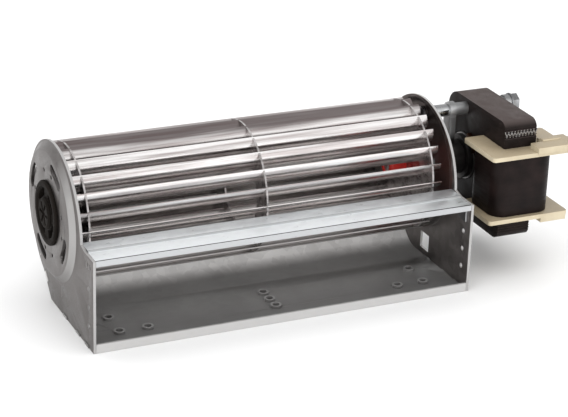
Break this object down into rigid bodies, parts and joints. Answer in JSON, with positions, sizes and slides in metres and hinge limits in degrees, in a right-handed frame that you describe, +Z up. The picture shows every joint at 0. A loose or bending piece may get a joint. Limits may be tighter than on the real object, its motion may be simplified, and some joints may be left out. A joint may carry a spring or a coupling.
{
  "type": "cross-flow fan",
  "caption": "Cross-flow blower: long bladed drum in a sheet scroll with a slot outlet, driven by a shaded-pole motor at one end",
  "frame": {"origin": "middle of the flat underside of the housing", "axes": "+X along the fan axis from the bearing end to the motor end, -Y out of the outlet, +Z up"},
  "size_m": [0.2418, 0.0852, 0.0749],
  "materials": {
    "galvanised_sheet": "galvanised, dull grey with fine spangle",
    "galvanised_strip": "bright galvanised, bluish white",
    "impeller_aluminium": "bright rolled sheet",
    "shaft_steel": "ground",
    "sintered_bronze": "porous, oiled",
    "black_rubber": "matt",
    "red_silicone": "satin",
    "lamination_steel": "bare edge of laminations",
    "stove_brown_laminations": "thin dark varnish over laminations",
    "cast_aluminium": "die cast, satin",
    "copper": "bare copper",
    "cream_plastic": "moulded, satin",
    "winding_tape": "lacquered dark brown tape",
    "tinned_brass": "tinned",
    "zinc_steel": "zinc plated"
  },
  "bodies": {
    "housing": {"left_side_plate": "galvanised_sheet", "right_side_plate": "galvanised_sheet", "scroll_housing": "galvanised_sheet", "stabiliser": "galvanised_strip", "bearing_mount": "black_rubber", "end_bearing": "sintered_bronze", "stator_frame": "stove_brown_laminations", "coil_core": "stove_brown_laminations", "shading_rings": "copper", "bobbin": "cream_plastic", "coil_winding": "winding_tape", "terminals": "tinned_brass", "inner_bearing_bridge": "cast_aluminium", "outer_bearing_bridge": "cast_aluminium", "inner_motor_bearing": "sintered_bronze", "outer_motor_bearing": "sintered_bronze", "bearing_cup": "black_rubber", "spacer_tubes": "zinc_steel", "motor_screws": "zinc_steel", "motor_nuts": "zinc_steel", "nut_washers": "zinc_steel"},
    "impeller": {"impeller_blades": "impeller_aluminium", "impeller_left_disc": "impeller_aluminium", "impeller_middle_ring": "impeller_aluminium", "impeller_right_disc": "impeller_aluminium", "stub_shaft": "shaft_steel", "silicone_hub": "red_silicone", "drive_shaft": "shaft_steel", "rotor_core": "lamination_steel", "rotor_cage": "cast_aluminium"}
  },
  "joints": [
    {"name": "impeller_spin", "type": "hinge", "parent": "housing", "child": "impeller", "pos_m": [0, 0.02317, 0.0434], "axis": [1, 0, 0], "continuous": true}
  ]
}
